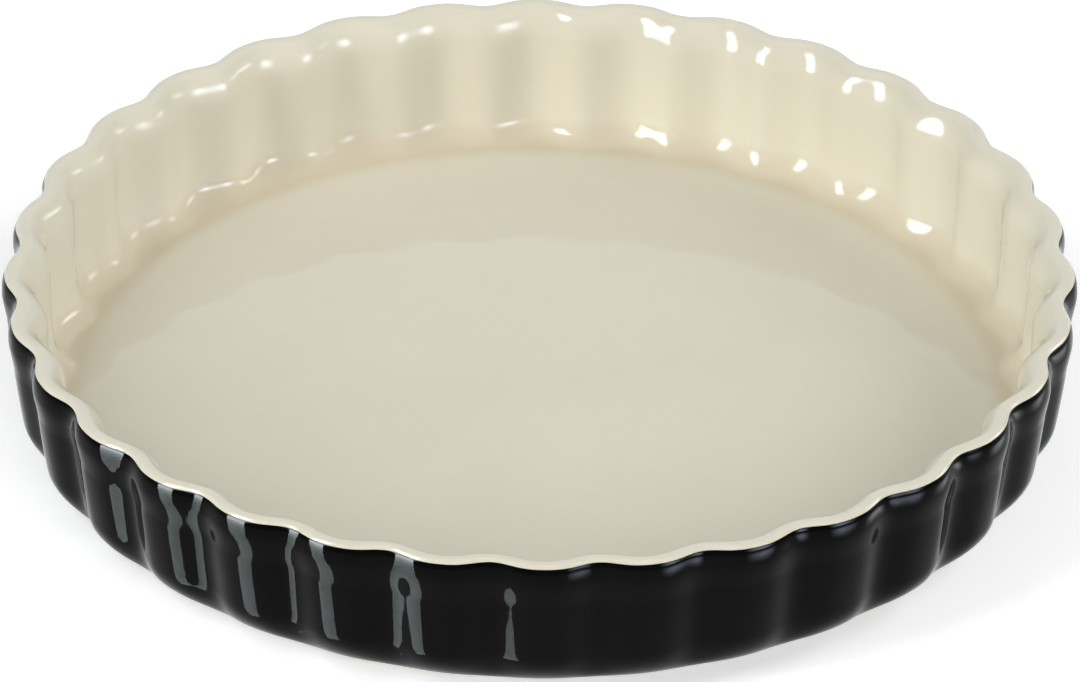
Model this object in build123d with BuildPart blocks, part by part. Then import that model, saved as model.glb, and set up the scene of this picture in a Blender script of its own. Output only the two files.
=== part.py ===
from build123d import *
import math
import os

# Round fluted pie dish in glazed stoneware. The origin is the centre of its footprint, +Z is up,
# and a flute crest points along +X. Lengths are millimetres.

# Overall size of the finished dish.
overall_diameter = 280.0  # over the flute crests, at the widest part of the lip
overall_height = 44.0  # table to the top of the rim
floor_height = 7.0  # table up to the flat floor inside

# Flutes: each has a round crest outside and a narrower valley, and the inside follows it.
flute_count = 32
wall_flute_depth = 3.0  # crest to valley on the wall
rim_flute_depth = 2.9  # crest to valley on the lip and the rim
floor_flute_depth = 2.0  # where the inner flutes run out on the floor
flute_fade_height = 12.0  # below this the outer flutes fade towards the foot
outer_roundness_share = 1.5  # crest radius as a share of the valley radius, outside
inner_roundness_share = 1.0  # the same inside

# Lip and rim: the wall flares into a rounded lip, and the rim turns over to the inside.
lip_height = 15.0  # rim top down to the start of the flare
belly_drop = 6.5  # rim top down to the lip's widest part
lip_flare = 2.6  # how far the belly stands out from the wall below it
rim_tuck = 0.6  # how far the rim's outer edge lies inside the belly
rim_width = 4.0  # rim, outer edge to inner edge
rim_outer_bevel = 0.8  # rounding at the rim's outer edge
rim_inner_bevel = 1.4  # height of the rounding at the rim's inner edge
rim_inner_bevel_width = 1.05

# Wall: it narrows a little downwards and gets thicker towards the floor.
wall_draft = 0.75  # how much the outside narrows from the lip to the bottom rounding
wall_foot_thickness = 6.4  # just above the inner fillet
bottom_round_radius = 17.0
fillet_radius = 7.0  # inside, from the wall to the floor

# Foot: a ring of bare clay round a shallow recess with a glazed base.
foot_height = 1.8
foot_step = 0.9  # how far the ring stands in from the clay above it
foot_width = 5.5
foot_chamfer = 0.5
base_recess = 1.2  # table to the glazed base

# Glaze: it pools a little in the fillet.
glaze_thickness = 0.7
base_glaze_thickness = 0.4
fillet_pool = 1.1

overrun = 3.0  # how far a cut runs past what it cuts

# Flutes of the clay under the glaze: a flat crest, a flat valley and a flank on each side. The first
# share is half the flat's part of the flute, the second its height as a part of the flute's.
clay_flat_share = 0.105
clay_height_share = 0.85

# Where a rounding has its sections, as shares of its whole sweep.
round_shares = (1, 2 / 3, 1 / 3)
fillet_shares = (1, 1 / 2)

# Levels and radii that follow from those sizes.
half_flute = math.pi / flute_count
quarter_turn = math.pi / 2
glaze_line = overall_height - rim_outer_bevel
belly_level = overall_height - belly_drop
lip_level = overall_height - lip_height
rim_inner_level = overall_height - rim_inner_bevel
fillet_level = floor_height + fillet_radius
belly_radius = (overall_diameter - rim_flute_depth) / 2
rim_radius = belly_radius - rim_tuck
rim_inner_radius = rim_radius - rim_width
rim_top_inner_radius = rim_inner_radius + rim_inner_bevel_width
upper_wall_radius = belly_radius - lip_flare
lower_wall_radius = upper_wall_radius - wall_draft
inner_lower_radius = lower_wall_radius - wall_foot_thickness
round_centre_radius = lower_wall_radius - bottom_round_radius
fillet_centre_radius = inner_lower_radius - fillet_radius


def polar(radius, angle):
    return (radius * math.cos(angle), radius * math.sin(angle))


def glazed_flutes(radius, depth, roundness):
    # Closed outline of crest arcs and valley arcs, which meet tangent on the flanks.
    crest = radius + depth / 2
    valley = radius - depth / 2
    bend = roundness * (1 - math.cos(half_flute))
    spread = crest * (roundness + math.cos(half_flute)) - valley * (1 + roundness * math.cos(half_flute))
    chord_squared = crest**2 + valley**2 - 2 * crest * valley * math.cos(half_flute)
    valley_arc = (math.sqrt(spread**2 + 2 * bend * chord_squared) - spread) / (2 * bend)
    crest_arc = roundness * valley_arc
    crest_centre = Vector(crest - crest_arc, 0)
    valley_centre = Vector(*polar(valley + valley_arc, half_flute))
    meeting = crest_centre + (valley_centre - crest_centre).normalized() * crest_arc
    meeting_angle = math.atan2(meeting.Y, meeting.X)
    for flute in range(flute_count):
        middle = 2 * half_flute * flute
        start = polar(meeting.length, middle - meeting_angle)
        end = polar(meeting.length, middle + meeting_angle)
        next_start = polar(meeting.length, middle + 2 * half_flute - meeting_angle)
        ThreePointArc(start, polar(crest, middle), end)
        ThreePointArc(end, polar(valley, middle + half_flute), next_start)


def clay_flutes(radius, depth):
    # Closed outline of the plainer flutes that the glaze covers.
    rise = depth / 2 * clay_height_share
    points = []
    for flute in range(flute_count):
        middle = 2 * half_flute * flute
        for centre, level in ((middle, radius + rise), (middle + half_flute, radius - rise)):
            for side in (-1, 1):
                points.append(polar(level, centre + side * 2 * half_flute * clay_flat_share))
    Polyline(*points, close=True)


def sections(stations, roundness=None):
    # One flat section for each station of (height, mean radius, flute depth), in glaze or in clay.
    faces = []
    for height, radius, depth in stations:
        with BuildSketch(Plane.XY.offset(height)) as section:
            with BuildLine():
                if roundness:
                    glazed_flutes(radius, depth, roundness)
                else:
                    clay_flutes(radius, depth)
            make_face()
        faces += section.sketch.faces()
    return faces


def bottom_rounding(arc_radius):
    # Stations from the foot up round the outside, where the flutes grow from nothing.
    full_sweep = math.asin((bottom_round_radius - foot_height) / arc_radius)
    stations = []
    for share in round_shares:
        sweep = full_sweep * share
        height = bottom_round_radius - arc_radius * math.sin(sweep)
        fade = math.sin(quarter_turn * min(1, height / flute_fade_height))
        stations.append((height, round_centre_radius + arc_radius * math.cos(sweep), wall_flute_depth * fade))
    return stations


def fillet_station(share, arc_radius):
    # Station on the inner fillet, from the floor at a share of 1 to the wall at 0.
    sweep = quarter_turn * share
    depth = floor_flute_depth + (wall_flute_depth - floor_flute_depth) * math.cos(sweep)
    height = fillet_level - arc_radius * math.sin(sweep)
    return (height, fillet_centre_radius + arc_radius * math.cos(sweep), depth)


# Outside of the finished dish, from the end of the glaze at the foot up to the glaze line.
outer_stations = bottom_rounding(bottom_round_radius) + [
    (bottom_round_radius, lower_wall_radius, wall_flute_depth),
    (lip_level, upper_wall_radius, wall_flute_depth),
    (belly_level, belly_radius, rim_flute_depth),
    (glaze_line, rim_radius, rim_flute_depth),
]
rim_stations = [
    (glaze_line, rim_radius, rim_flute_depth),
    (overall_height, rim_radius - rim_outer_bevel, rim_flute_depth),
]

# Outside of the clay, under the glaze.
clay_outer_stations = bottom_rounding(bottom_round_radius - glaze_thickness) + [
    (lip_level, upper_wall_radius - glaze_thickness, wall_flute_depth),
    (belly_level, belly_radius - glaze_thickness, rim_flute_depth),
    (glaze_line, rim_radius - glaze_thickness, rim_flute_depth),
]

# Hollow of the finished dish, from the floor up.
inner_stations = [fillet_station(share, fillet_radius) for share in fillet_shares] + [
    fillet_station(0, fillet_radius),
    (rim_inner_level, rim_inner_radius, rim_flute_depth),
    (overall_height, rim_top_inner_radius, rim_flute_depth),
    (overall_height + overrun, rim_top_inner_radius, rim_flute_depth),
]

# Hollow of the clay, under the glaze.
clay_fillet_radius = fillet_radius + glaze_thickness
clay_inner_stations = [
    fillet_station(fillet_shares[0], clay_fillet_radius),
    fillet_station(fillet_shares[1], clay_fillet_radius + fillet_pool),
    fillet_station(0, clay_fillet_radius),
    (glaze_line, rim_top_inner_radius, rim_flute_depth),
]

# The foot ring stands in from the lowest section of the clay.
clay_foot_radius = clay_outer_stations[0][1]
foot_radius = clay_foot_radius - foot_step
foot_inner_radius = foot_radius - foot_width

# Body of fired clay: wall, floor and the bare foot ring.
with BuildPart() as stoneware_body:
    loft(sections(clay_outer_stations), ruled=True)
    with BuildSketch():
        Circle(foot_radius)
    extrude(amount=foot_height)
    loft(sections(clay_inner_stations), ruled=True, mode=Mode.SUBTRACT)
    with BuildSketch():
        Circle(foot_inner_radius)
    extrude(amount=base_recess + base_glaze_thickness, mode=Mode.SUBTRACT)
    foot_edges = stoneware_body.faces().sort_by(Axis.Z)[0].edges()
    chamfer(foot_edges, length=foot_chamfer)
stoneware_body.part.label = "stoneware_body"

# Dark glaze on the outside, from the foot up to the glaze line at the rim's edge.
with BuildPart() as outer_glaze:
    loft(sections(outer_stations, outer_roundness_share), ruled=True)
    loft(sections(clay_outer_stations), ruled=True, mode=Mode.SUBTRACT)
outer_glaze.part.label = "outer_glaze"

# Pale glaze that lines the hollow and turns over the rim to the glaze line.
with BuildPart() as inner_glaze:
    loft(sections(rim_stations, outer_roundness_share), ruled=True)
    loft(sections(clay_inner_stations), ruled=True)
    loft(sections(inner_stations, inner_roundness_share), ruled=True, mode=Mode.SUBTRACT)
inner_glaze.part.label = "inner_glaze"

# Glazed disc in the recess of the foot ring.
with BuildPart() as base_glaze:
    with BuildSketch(Plane.XY.offset(base_recess)):
        Circle(foot_inner_radius)
    extrude(amount=base_glaze_thickness)
base_glaze.part.label = "base_glaze"

os.makedirs("parts", exist_ok=True)
for piece in (stoneware_body, outer_glaze, inner_glaze, base_glaze):
    export_step(piece.part, f"parts/{piece.part.label}.step")
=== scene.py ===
import math

import bpy
import numpy as np
from mathutils import Matrix, Vector


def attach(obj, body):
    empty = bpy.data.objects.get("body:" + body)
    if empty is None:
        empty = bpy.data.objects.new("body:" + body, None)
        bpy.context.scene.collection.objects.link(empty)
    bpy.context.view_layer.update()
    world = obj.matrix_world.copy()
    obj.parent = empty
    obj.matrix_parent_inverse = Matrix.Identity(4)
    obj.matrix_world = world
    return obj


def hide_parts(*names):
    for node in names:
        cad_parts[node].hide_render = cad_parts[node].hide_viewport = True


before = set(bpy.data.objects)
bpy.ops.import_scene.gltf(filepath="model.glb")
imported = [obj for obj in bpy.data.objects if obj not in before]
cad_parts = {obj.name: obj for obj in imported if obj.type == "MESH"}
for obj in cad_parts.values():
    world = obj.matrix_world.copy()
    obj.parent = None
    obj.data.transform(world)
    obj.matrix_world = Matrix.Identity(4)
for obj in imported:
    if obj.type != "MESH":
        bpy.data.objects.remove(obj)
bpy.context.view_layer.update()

# A round fluted pie dish in glazed stoneware: black outside, cream inside. Metres, +Z up, a flute
# crest along +X, as in the frame.

mm = 0.001
print("frame loaded:", sorted(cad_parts))


# Flutes, which every skin of the dish shares.
flutes = {
    "count": 32,
    "columns": 22,  # mesh columns in one flute
    "wallDepth": 3.05 * mm,  # crest to valley
    "lipDepth": 2.9 * mm,
    "rimDepth": 2.8 * mm,
    "outerPinch": 0.15,  # above 0 the valleys are narrower than the crests
    "innerPinch": 0.05,
    "outOfRound": 0.12 * mm,  # how far the fired wall strays from true
    # Waves of that: share, number round the dish, turn, and what each metre up adds to the turn.
    "waves": [(0.5, 2, 0.7, 0), (0.3, 3, 2.1, 0), (0.2, 7, 4.0, 0), (0.25, 11, 1.3, 60)],
}

columns = flutes["count"] * flutes["columns"]
angles = np.arange(columns) * 2 * math.pi / columns


def fluteWave(pinch):
    phase = flutes["count"] * angles
    return (np.cos(phase) - pinch * np.cos(2 * phase)) / 2


def strayed(height):  # a slow, even wander of the fired wall, the same on every skin
    waves = [share * np.cos(number * angles + turn + twist * height)
             for share, number, turn, twist in flutes["waves"]]
    return flutes["outOfRound"] * sum(waves)


def smoothPath(points, samples):  # a curve through rows of numbers, with round corners
    ends = np.vstack([2 * points[0] - points[1], points, 2 * points[-1] - points[-2]])
    rows = []
    for before, start, stop, after in zip(ends, ends[1:], ends[2:], ends[3:]):
        pairs = (before, start), (start, stop), (stop, after)
        gaps = [math.sqrt(math.dist(a, b)) for a, b in pairs]
        leave = (start - before) / gaps[0] - (stop - before) / (gaps[0] + gaps[1]) + (stop - start) / gaps[1]
        arrive = (stop - start) / gaps[1] - (after - start) / (gaps[1] + gaps[2]) + (after - stop) / gaps[2]
        for t in np.arange(samples) / samples:
            hermite = (2 * t**3 - 3 * t**2 + 1, t**3 - 2 * t**2 + t, 3 * t**2 - 2 * t**3, t**3 - t**2)
            rows.append(hermite[0] * start + hermite[1] * leave * gaps[1]
                        + hermite[2] * stop + hermite[3] * arrive * gaps[1])
    rows.append(points[-1])
    return np.array(rows)


def arcPath(centre, radius, startAngle, endAngle, rows):
    turns = np.radians(np.linspace(startAngle, endAngle, rows))
    return np.column_stack([centre[0] + radius * np.cos(turns), centre[1] + radius * np.sin(turns)]) * mm


def setBack(path, distance):  # the same path, moved into the dish's wall
    ahead = np.gradient(path[:, 0]), np.gradient(path[:, 1])
    length = np.hypot(*ahead)
    moved = path.copy()
    moved[:, 0] -= distance * ahead[1] / length
    moved[:, 1] += distance * ahead[0] / length
    return moved


def thinned(path):  # every second row, for a side that nothing shows
    kept = list(range(0, len(path) - 1, 2)) + [len(path) - 1]
    return path[kept]


def turned(name, loop, material, node):
    # Turns a closed loop of rows (radius, height, flute depth, pinch) about the axis. Radius 0 is a pole.
    vertices, rings = [], []
    for radius, height, depth, pinch in loop:
        start = len(vertices)
        if radius == 0:
            vertices.append((0.0, 0.0, height))
            rings.append([start] * columns)
            continue
        edge = radius + depth * fluteWave(pinch) + strayed(height) * min(1, depth / flutes["wallDepth"])
        vertices.extend(zip(edge * np.cos(angles), edge * np.sin(angles), [height] * columns))
        rings.append(list(range(start, start + columns)))
    faces = []
    for here, following in zip(rings, rings[1:] + rings[:1]):
        if here[0] == here[1] and following[0] == following[1]:
            continue
        for j in range(columns):
            k = (j + 1) % columns
            corners = (here[j], here[k], following[k], following[j])
            faces.append(tuple(dict.fromkeys(corners)))
    mesh = bpy.data.meshes.new(name)
    mesh.from_pydata([tuple(map(float, v)) for v in vertices], [], faces)
    mesh.shade_smooth()
    mesh.materials.append(material)
    piece = bpy.data.objects.new(name, mesh)
    bpy.context.scene.collection.objects.link(piece)
    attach(piece, "root")
    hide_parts(node)
    print("made", name, len(faces), "faces")


# Outline of the finished dish, in mm, as rows of radius and height: from the foot up, over the rim
# and down to the floor.
outline = {
    "roundCentre": (118.2, 17),
    "roundRadius": 17,
    "roundArc": (-63.4, -7, 14),  # degrees from and to, and its rows
    "outside": [(135.55, 18), (136.4, 24), (136.95, 28.5), (137.27, 31.2), (137.5, 32.5), (137.78, 33.9),
                (138.07, 35.4), (138.32, 36.9), (138.47, 38.3), (138.44, 39.6), (138.31, 40.9), (138.07, 42)],
    "glazeLine": (137.65, 43.05),
    "inside": [(137.05, 43.7), (136.2, 43.97), (135.2, 43.9), (134.35, 43.6), (133.55, 43.1), (132.8, 42.5),
               (132.1, 41.8), (131.45, 41), (130.95, 40.1), (130.5, 39.1), (130.15, 38.1), (129.9, 37.1),
               (129.75, 35.8), (129.65, 33), (129.55, 28), (129.4, 22)],
    "filletCentre": (121.8, 14),
    "filletRadius": 7,
    "filletRows": 12,
    "floorHeight": 7,
    "floorShares": (0.985, 0.96, 0.93, 0.88, 0.8, 0.7, 0.6, 0.5, 0.4, 0.3, 0.2, 0.1, 0.04, 0),
    "curveSteps": 4,  # mesh rows from one row of the outline to the next
    # Where the flutes change.
    "fadeHeights": (2, 13),  # none at the first, full at the second
    "outerHeights": (30, 36, 44),  # wall, lip and rim depth
    "innerHeights": (41, 44),  # wall and rim depth
    "pinchRadii": (134.5, 137.5),  # inner pinch and outer pinch, over the rim
    "floorFade": (0.8, 1),  # share of the floor's radius, none at the first
    "glazeThickness": 0.7,
}


def scaled(key):
    return np.array(outline[key]) * mm


def withFlutes(path, depths, pinches):
    return np.column_stack([path, np.broadcast_to(depths, len(path)), np.broadcast_to(pinches, len(path))])


def outsidePath():
    rounding = arcPath(outline["roundCentre"], outline["roundRadius"], *outline["roundArc"])
    low, high = scaled("fadeHeights")
    risen = np.clip((rounding[:, 1] - low) / (high - low), 0, 1)
    fade = np.sin(risen * math.pi / 2) * flutes["wallDepth"]
    wall = np.vstack([rounding[-1], scaled("outside"), scaled("glazeLine")])
    wall = smoothPath(wall, outline["curveSteps"])[1:]
    depths = np.interp(wall[:, 1], scaled("outerHeights"),
                       [flutes["wallDepth"], flutes["lipDepth"], flutes["rimDepth"]])
    pinch = flutes["outerPinch"]
    return np.vstack([withFlutes(rounding, fade, pinch), withFlutes(wall, depths, pinch)])


def insidePath():
    centre, radius, pinch = outline["filletCentre"], outline["filletRadius"], flutes["innerPinch"]
    fillet = arcPath(centre, radius, 0, -90, outline["filletRows"])
    wall = np.vstack([scaled("glazeLine"), scaled("inside"), fillet[0]])
    wall = smoothPath(wall, outline["curveSteps"])
    depths = np.interp(wall[:, 1], scaled("innerHeights"), [flutes["wallDepth"], flutes["rimDepth"]])
    pinches = np.interp(wall[:, 0], scaled("pinchRadii"), [pinch, flutes["outerPinch"]])
    floor = np.array([(share * centre[0], outline["floorHeight"]) for share in outline["floorShares"]]) * mm
    floorDepths = np.interp(outline["floorShares"], outline["floorFade"], [0, flutes["wallDepth"]])
    return np.vstack([
        withFlutes(wall, depths, pinches),
        withFlutes(fillet[1:], flutes["wallDepth"], pinch),
        withFlutes(floor, floorDepths, pinch),
    ])


# Materials. The groups below hold the effects that they share, and work in metres from the dish's axis.
def newGroup(name, sockets):
    group = bpy.data.node_groups.new(name, "ShaderNodeTree")
    for way, kind, label in sockets:
        group.interface.new_socket(name=label, in_out=way, socket_type="NodeSocket" + kind)
    return group, group.nodes.new("NodeGroupInput"), group.nodes.new("NodeGroupOutput")


def noise(tree, place, scale, detail):
    node = tree.nodes.new("ShaderNodeTexNoise")
    node.inputs["Scale"].default_value = scale
    node.inputs["Detail"].default_value = detail
    tree.links.new(place, node.inputs["Vector"])
    return node.outputs["Fac"]


def cells(tree, place, scale):
    node = tree.nodes.new("ShaderNodeTexVoronoi")
    node.inputs["Scale"].default_value = scale
    tree.links.new(place, node.inputs["Vector"])
    return node.outputs["Distance"]


def sums(tree, kind, first, second):  # one step of arithmetic, with sockets or plain values
    node = tree.nodes.new("ShaderNodeMath")
    node.operation = kind
    for slot, value in zip(node.inputs, (first, second)):
        if isinstance(value, bpy.types.NodeSocket):
            tree.links.new(value, slot)
        else:
            slot.default_value = value
    return node.outputs[0]


def between(tree, value, low, high):  # 0 below low, 1 above high
    node = tree.nodes.new("ShaderNodeMapRange")
    node.interpolation_type = "SMOOTHSTEP"
    node.inputs["From Min"].default_value = low
    node.inputs["From Max"].default_value = high
    tree.links.new(value, node.inputs["Value"])
    return node.outputs["Result"]


def blend(tree, share, first, second):
    node = tree.nodes.new("ShaderNodeMix")
    node.data_type = "RGBA"
    tree.links.new(share, node.inputs["Factor"])
    for label, value in (("A", first), ("B", second)):
        slot = [i for i in node.inputs if i.name == label and i.type == "RGBA"][0]
        tree.links.new(value, slot)
    return [o for o in node.outputs if o.type == "RGBA"][0]


def objectPlace(tree):
    return tree.nodes.new("ShaderNodeTexCoord").outputs["Object"]


ripple = {
    "flowScale": 48,
    "peelScale": 420,
    "peelShare": 0.045,
    "holeScale": 130,
    "holeSize": (0.02, 0.05),  # bottom and brim of a pinhole, in its cell
    "holeShare": 0.06,
}


def makeGlazeRipple():
    # Height of a fired glaze: a slow flow, a fine orange peel and a few pinholes.
    group, given, result = newGroup("glazeRipple", [("OUTPUT", "Float", "Height")])
    place = objectPlace(group)
    flow = noise(group, place, ripple["flowScale"], 1)
    peel = noise(group, place, ripple["peelScale"], 2)
    hole = between(group, cells(group, place, ripple["holeScale"]), *ripple["holeSize"])
    height = sums(group, "ADD", flow, sums(group, "MULTIPLY", peel, ripple["peelShare"]))
    height = sums(group, "ADD", height, sums(group, "MULTIPLY", hole, ripple["holeShare"]))
    group.links.new(height, result.inputs["Height"])
    return group


tone = {
    "patchScale": 22,
    "patchRange": (0.3, 0.7),
    "patchShare": 0.45,
    "mottleScale": 210,
    "mottleShare": 0.3,
    # The inner corner, where the wall meets the floor, turns darker and browner: partly glaze pooled there,
    # partly painted shade.
    "cornerShadeRadii": (116 * mm, 122 * mm),  # the pooled glaze and painted shade start, and are full
    "cornerShadeHeights": (9 * mm, 14 * mm),  # the pooled glaze and painted shade are full, and end
    "cornerShadeShare": 0.8,
    "edgeHeights": (42.9 * mm, 43.5 * mm),  # the rim's thin edge
    "edgeShare": 0.9,
}


def makeGlazeTone():
    # Colour of a glaze: thick and thin patches, a darker, browner inner corner that is partly pooled glaze
    # and partly painted shade, thinner on the rim's edge.
    group, given, result = newGroup("glazeTone", [
        ("INPUT", "Color", "Thick"), ("INPUT", "Color", "Thin"), ("INPUT", "Color", "PoolAndShade"),
        ("OUTPUT", "Color", "Color"), ("OUTPUT", "Float", "Roughness Share")])
    place = objectPlace(group)
    patches = between(group, noise(group, place, tone["patchScale"], 3), *tone["patchRange"])
    mottle = noise(group, place, tone["mottleScale"], 2)
    split = group.nodes.new("ShaderNodeSeparateXYZ")
    flat = group.nodes.new("ShaderNodeCombineXYZ")
    group.links.new(place, split.inputs[0])
    for axis in ("X", "Y"):
        group.links.new(split.outputs[axis], flat.inputs[axis])
    reach = group.nodes.new("ShaderNodeVectorMath")
    reach.operation = "LENGTH"
    group.links.new(flat.outputs[0], reach.inputs[0])
    # painted shade and pooled glaze: a darker colour low in the inner corner
    above = between(group, split.outputs["Z"], *tone["cornerShadeHeights"])
    cornerShade = sums(group, "MULTIPLY", between(group, reach.outputs["Value"], *tone["cornerShadeRadii"]),
                  sums(group, "SUBTRACT", 1, above))
    edge = between(group, split.outputs["Z"], *tone["edgeHeights"])
    share = sums(group, "ADD", sums(group, "MULTIPLY", patches, tone["patchShare"]),
                 sums(group, "MULTIPLY", mottle, tone["mottleShare"]))
    share = sums(group, "MAXIMUM", share, sums(group, "MULTIPLY", edge, tone["edgeShare"]))
    colour = blend(group, share, given.outputs["Thick"], given.outputs["Thin"])
    # mix in the inner corner's darker colour, partly pooled glaze and partly painted shade
    colour = blend(group, sums(group, "MULTIPLY", cornerShade, tone["cornerShadeShare"]), colour, given.outputs["PoolAndShade"])
    group.links.new(colour, result.inputs["Color"])
    uneven = sums(group, "MULTIPLY", sums(group, "ADD", patches, mottle), 0.5)
    group.links.new(uneven, result.inputs["Roughness Share"])
    return group


grain = {
    "grainScale": 900,
    "sandRange": (0.1, 0.5),
    "sandHeight": 0.6,
    "bodyScale": 160,
    "bodyRange": (0.35, 0.7),
    "roughness": 0.74,
    "roughnessSpread": 0.25,
}


def makeClayGrain():
    # Fired clay: sand grains of two tones, small pits, and a rubbed, paler look where it is high.
    group, given, result = newGroup("clayGrain", [
        ("INPUT", "Color", "Clay"), ("INPUT", "Color", "Grain"),
        ("OUTPUT", "Color", "Color"), ("OUTPUT", "Float", "Roughness"), ("OUTPUT", "Float", "Height")])
    place = objectPlace(group)
    body = noise(group, place, grain["bodyScale"], 5)
    sand = between(group, cells(group, place, grain["grainScale"]), *grain["sandRange"])
    dark = between(group, body, *grain["bodyRange"])
    share = sums(group, "MULTIPLY", dark, sums(group, "SUBTRACT", 1, sand))
    colour = blend(group, share, given.outputs["Clay"], given.outputs["Grain"])
    rough = sums(group, "ADD", grain["roughness"], sums(group, "MULTIPLY", body, grain["roughnessSpread"]))
    height = sums(group, "ADD", sums(group, "MULTIPLY", sand, grain["sandHeight"]), body)
    group.links.new(colour, result.inputs["Color"])
    group.links.new(rough, result.inputs["Roughness"])
    group.links.new(height, result.inputs["Height"])
    return group


def useGroup(tree, group, colours=None):
    node = tree.nodes.new("ShaderNodeGroup")
    node.node_tree = group
    for label, colour in (colours or {}).items():
        node.inputs[label].default_value = (*colour, 1)
    return node


def bumped(tree, height, distance, strength):
    bump = tree.nodes.new("ShaderNodeBump")
    bump.inputs["Strength"].default_value = strength
    bump.inputs["Distance"].default_value = distance
    tree.links.new(height, bump.inputs["Height"])
    tree.links.new(bump.outputs["Normal"], tree.nodes["Principled BSDF"].inputs["Normal"])


def newMaterial(name, specular):
    material = bpy.data.materials.new(name)
    material.use_nodes = True
    shader = material.node_tree.nodes["Principled BSDF"]
    shader.inputs["Specular IOR Level"].default_value = specular
    return material, material.node_tree, shader


glazeRipple, glazeTone, clayGrain = makeGlazeRipple(), makeGlazeTone(), makeClayGrain()


def makeGlaze(name, look):
    material, tree, shader = newMaterial(name, look["specular"])
    toned = useGroup(tree, glazeTone, look["colours"])
    rough = tree.nodes.new("ShaderNodeMapRange")
    rough.inputs["To Min"].default_value, rough.inputs["To Max"].default_value = look["roughness"]
    tree.links.new(toned.outputs["Color"], shader.inputs["Base Color"])
    tree.links.new(toned.outputs["Roughness Share"], rough.inputs["Value"])
    tree.links.new(rough.outputs["Result"], shader.inputs["Roughness"])
    bumped(tree, useGroup(tree, glazeRipple).outputs["Height"], look["ripple"], 1)
    return material


def makeClay(name, look):
    material, tree, shader = newMaterial(name, look["specular"])
    grained = useGroup(tree, clayGrain, look["colours"])
    tree.links.new(grained.outputs["Color"], shader.inputs["Base Color"])
    tree.links.new(grained.outputs["Roughness"], shader.inputs["Roughness"])
    bumped(tree, grained.outputs["Height"], look["relief"], look["reliefStrength"])
    return material


blackGlaze = makeGlaze("blackGlaze", {
    "specular": 0.06,
    "colours": {
        "Thick": (0.0014, 0.0014, 0.0017),
        "Thin": (0.0034, 0.0031, 0.003),
        # the inner corner's colour: pooled glaze, darkened further as painted shade
        "PoolAndShade": (0.0013, 0.0013, 0.0016),
    },
    "roughness": (0.02, 0.045),
    "ripple": 0.11 * mm,
})
creamGlaze = makeGlaze("creamGlaze", {
    "specular": 0.08,
    "colours": {
        "Thick": (0.705, 0.664, 0.54),
        "Thin": (0.735, 0.702, 0.582),
        # the inner corner's colour: pooled glaze, darkened and browned further as painted shade
        "PoolAndShade": (0.66, 0.585, 0.44),
    },
    "roughness": (0.02, 0.04),
    "ripple": 0.11 * mm,
})
bareClay = makeClay("bareClay", {
    "specular": 0.3,
    "colours": {
        "Clay": (0.62, 0.53, 0.41),
        "Grain": (0.46, 0.37, 0.27),
    },
    "relief": 0.15 * mm,
    "reliefStrength": 0.8,
})
print("made the materials")


# The glaze coats are closed skins. The clay fills the space between their backs and has the foot.
outside, inside = outsidePath(), insidePath()
coat = outline["glazeThickness"] * mm
outsideBack, insideBack = (thinned(setBack(path, coat)) for path in (outside, inside))
outsideBack[-1] = insideBack[0] = (outsideBack[-1] + insideBack[0]) / 2
insideBack[-1] = (0, outline["floorHeight"] * mm - coat, 0, flutes["innerPinch"])

turned("outerGlaze", np.vstack([outside, outsideBack[::-1]]), blackGlaze, "outer_glaze")
turned("innerGlaze", np.vstack([inside, insideBack[::-1]]), creamGlaze, "inner_glaze")

foot = {  # in mm
    "outerRadius": 123.2,
    "innerRadius": 117.7,
    "height": 1.8,
    "bevelWidth": 0.5,
    "bevelHeight": 0.6,
    "recess": 1.2,
    "baseGlaze": 0.4,
    "baseRing": 60,  # a ring of points between the base's middle and its edge
}
innerFoot, outerFoot, bevel = foot["innerRadius"], foot["outerRadius"], foot["bevelWidth"]
baseTop = foot["recess"] + foot["baseGlaze"]
footLoop = [(0, baseTop), (foot["baseRing"], baseTop), (innerFoot, baseTop), (innerFoot, foot["bevelHeight"]),
            (innerFoot + bevel, 0), (outerFoot - bevel, 0), (outerFoot, foot["bevelHeight"]),
            (outerFoot, foot["height"])]
footLoop = withFlutes(np.array(footLoop) * mm, 0, 0)
turned("stonewareBody", np.vstack([footLoop, outsideBack[:-1], insideBack]), bareClay,
       "stoneware_body")

base = [(0, foot["recess"]), (foot["baseRing"], foot["recess"]), (innerFoot, foot["recess"]),
        (innerFoot, baseTop), (0, baseTop)]
turned("baseGlaze", withFlutes(np.array(base) * mm, 0, 0), blackGlaze, "base_glaze")


# Camera: where the photo was taken from.
shot = {
    "azimuth": -90.81,  # degrees, where the camera stands
    "elevation": 32.13,
    "roll": 0.52,
    "distance": 3.149,  # metres, from the middle of the rim
    "lens": 404.5,
    "sensorWidth": 36,
    "reach": 100,
    "rimHeight": 43.2 * mm,
    "rimCentre": (540.1, 274.0),  # pixel of the rim's middle in the photo
    "photoSize": (1080, 682),
}


def makeCamera():
    data = bpy.data.cameras.new("camera")
    data.lens = shot["lens"]
    data.sensor_width = shot["sensorWidth"]
    data.clip_end = shot["reach"]
    camera = bpy.data.objects.new("camera", data)
    azimuth, elevation = math.radians(shot["azimuth"]), math.radians(shot["elevation"])
    level = math.cos(elevation)
    away = Vector((math.cos(azimuth) * level, math.sin(azimuth) * level, math.sin(elevation)))
    width, height = shot["photoSize"]
    focal = shot["lens"] / shot["sensorWidth"] * width  # in pixels
    across = math.atan((shot["rimCentre"][0] - width / 2) / focal)
    down = math.atan((height / 2 - shot["rimCentre"][1]) / focal)
    turn = away.to_track_quat("Z", "Y").to_matrix().to_4x4()
    turn = turn @ Matrix.Rotation(math.radians(shot["roll"]), 4, "Z")
    turn = turn @ Matrix.Rotation(-down, 4, "X") @ Matrix.Rotation(across, 4, "Y")
    rimMiddle = Vector((0, 0, shot["rimHeight"]))
    camera.matrix_world = Matrix.Translation(rimMiddle + away * shot["distance"]) @ turn
    bpy.context.scene.collection.objects.link(camera)
    bpy.context.scene.camera = camera


makeCamera()
print("set the camera")


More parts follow.
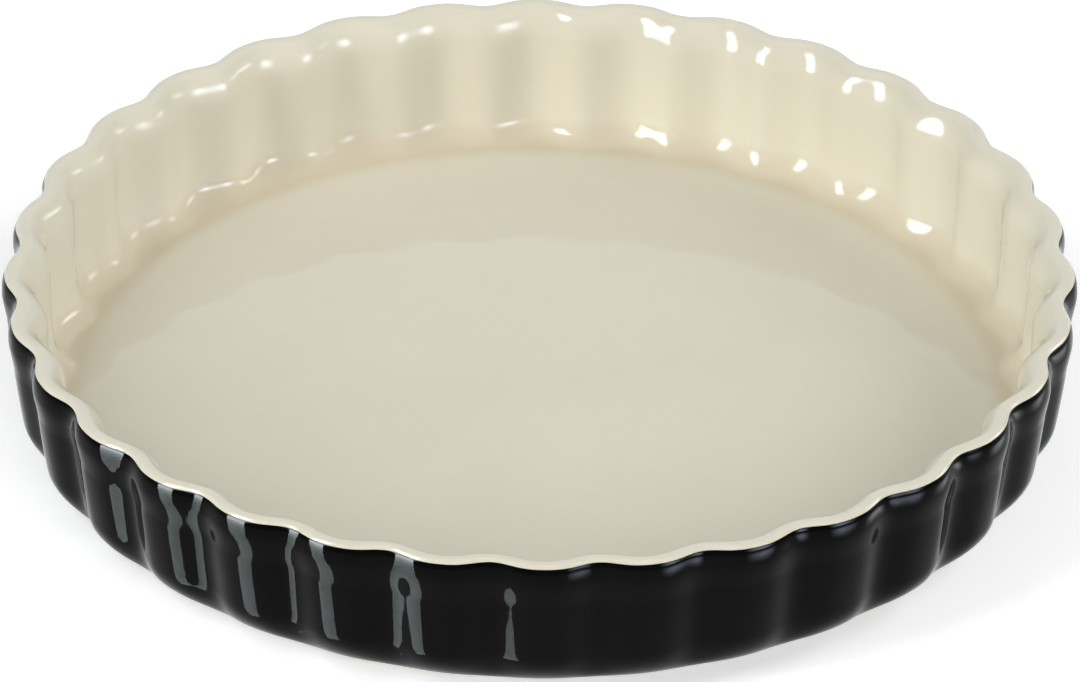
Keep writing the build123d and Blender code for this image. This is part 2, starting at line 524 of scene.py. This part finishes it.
# Floor and light.
studio = {
    "floorSize": 30,
    "floorLevel": -0.05 * mm,  # a hair under the foot
    "floorColour": (0.9, 0.9, 0.9),
    "floorRoughness": 0.9,
    "floorGlow": 0.42,  # what the camera and mirrors see added to the floor, so that it is white
    "coatRoughness": 0.01,  # the coat is there only for what mirrors the floor
    "coatIor": 1.85,
    "world": (0.24, 0.24, 0.24),
    "edge": 0.04,  # share of a panel over which its light fades, where it has no softness of its own
}


def makeFloor():
    half = studio["floorSize"] / 2
    mesh = bpy.data.meshes.new("floor")
    corners = [(x * half, y * half, studio["floorLevel"]) for x, y in ((-1, -1), (1, -1), (1, 1), (-1, 1))]
    mesh.from_pydata(corners, [], [(0, 1, 2, 3)])
    floor = bpy.data.objects.new("floor", mesh)
    bpy.context.scene.collection.objects.link(floor)
    material, tree, shader = newMaterial("floorPaint", 0)
    shader.inputs["Base Color"].default_value = (*studio["floorColour"], 1)
    shader.inputs["Roughness"].default_value = studio["floorRoughness"]
    shader.inputs["Coat Roughness"].default_value = studio["coatRoughness"]
    shader.inputs["Coat IOR"].default_value = studio["coatIor"]
    shader.inputs["Emission Color"].default_value = (1, 1, 1, 1)
    ray = tree.nodes.new("ShaderNodeLightPath").outputs
    tree.links.new(ray["Is Glossy Ray"], shader.inputs["Coat Weight"])
    seen = sums(tree, "MAXIMUM", ray["Is Camera Ray"], ray["Is Glossy Ray"])
    seen = sums(tree, "MAXIMUM", seen, ray["Is Transmission Ray"])
    glow = sums(tree, "MULTIPLY", seen, studio["floorGlow"])
    tree.links.new(glow, shader.inputs["Emission Strength"])
    mesh.materials.append(material)


def softEdges(lamp, softness):  # the light fades towards the panel's edges
    lamp.use_nodes = True
    tree = lamp.node_tree
    split = tree.nodes.new("ShaderNodeSeparateXYZ")
    tree.links.new(tree.nodes.new("ShaderNodeNewGeometry").outputs["Parametric"], split.inputs[0])
    shares = []
    for axis in ("X", "Y"):
        inward = sums(tree, "PINGPONG", split.outputs[axis], 0.5)  # 0 at both edges, 0.5 in the middle
        shares.append(between(tree, inward, 0, softness / 2))
    tree.links.new(sums(tree, "MULTIPLY", *shares), tree.nodes["Emission"].inputs["Strength"])


def panel(name, azimuth, distance, bottom, top, width, radiance, colour=(1, 1, 1), gloss=True, matt=True,
          softness=studio["edge"]):
    # An upright soft panel that faces the dish, seen by glossy rays, by matt surfaces or by both.
    lamp = bpy.data.lights.new(name, "AREA")
    lamp.shape = "RECTANGLE"
    lamp.size, lamp.size_y = width, top - bottom
    lamp.energy = radiance * math.pi * width * (top - bottom)
    lamp.color = colour
    softEdges(lamp, softness)
    box = bpy.data.objects.new(name, lamp)
    turn = math.radians(azimuth)
    outward = Vector((math.cos(turn), math.sin(turn), 0))
    box.location = outward * distance + Vector((0, 0, (bottom + top) / 2))
    box.rotation_mode = "QUATERNION"
    box.rotation_quaternion = outward.to_track_quat("Z", "Y")
    box.visible_camera = False
    box.visible_glossy = gloss
    box.visible_diffuse = matt
    bpy.context.scene.collection.objects.link(box)


# Degrees and metres. A glow panel shows only in the glaze, and the others light the matt surfaces.
lamps = {
    "keyGlow": {"azimuth": -152.4, "distance": 1.5, "bottom": 0.0, "top": 2.25, "width": 0.62,
                "radiance": 82, "colour": (0.87, 0.98, 1.0), "matt": False},
    "key": {"azimuth": -152.4, "distance": 1.7, "bottom": 0.3, "top": 3.4, "width": 0.72,
            "radiance": 5.75, "gloss": False},
    "rightGlow": {"azimuth": 12, "distance": 1.4, "bottom": 0.2, "top": 0.8, "width": 1.1,
                  "radiance": 34, "colour": (0.96, 0.98, 1.0), "matt": False, "softness": 1},
    "right": {"azimuth": 15, "distance": 1.6, "bottom": 0.45, "top": 1.8, "width": 0.8,
              "radiance": 5, "gloss": False},
    "hood": {"azimuth": -40, "distance": 3, "bottom": 0.05, "top": 1.7, "width": 2.5,
             "radiance": 62, "colour": (0.82, 0.9, 1.1), "matt": False, "softness": 1},
    "front": {"azimuth": -74, "distance": 4, "bottom": 1.4, "top": 3.4, "width": 3,
              "radiance": 5.4, "gloss": False},
    "back": {"azimuth": 90, "distance": 2, "bottom": 0.1, "top": 3.0, "width": 4,
             "radiance": 2.3, "colour": (0.8, 0.95, 1.05), "matt": False},
}

makeFloor()
for name, lamp in lamps.items():
    panel(name, **lamp)

world = bpy.data.worlds.new("world")
bpy.context.scene.world = world
world.use_nodes = True
world.node_tree.nodes["Background"].inputs["Color"].default_value = (*studio["world"], 1)
bpy.context.scene.view_settings.view_transform = "Standard"
print("set the floor and the light")
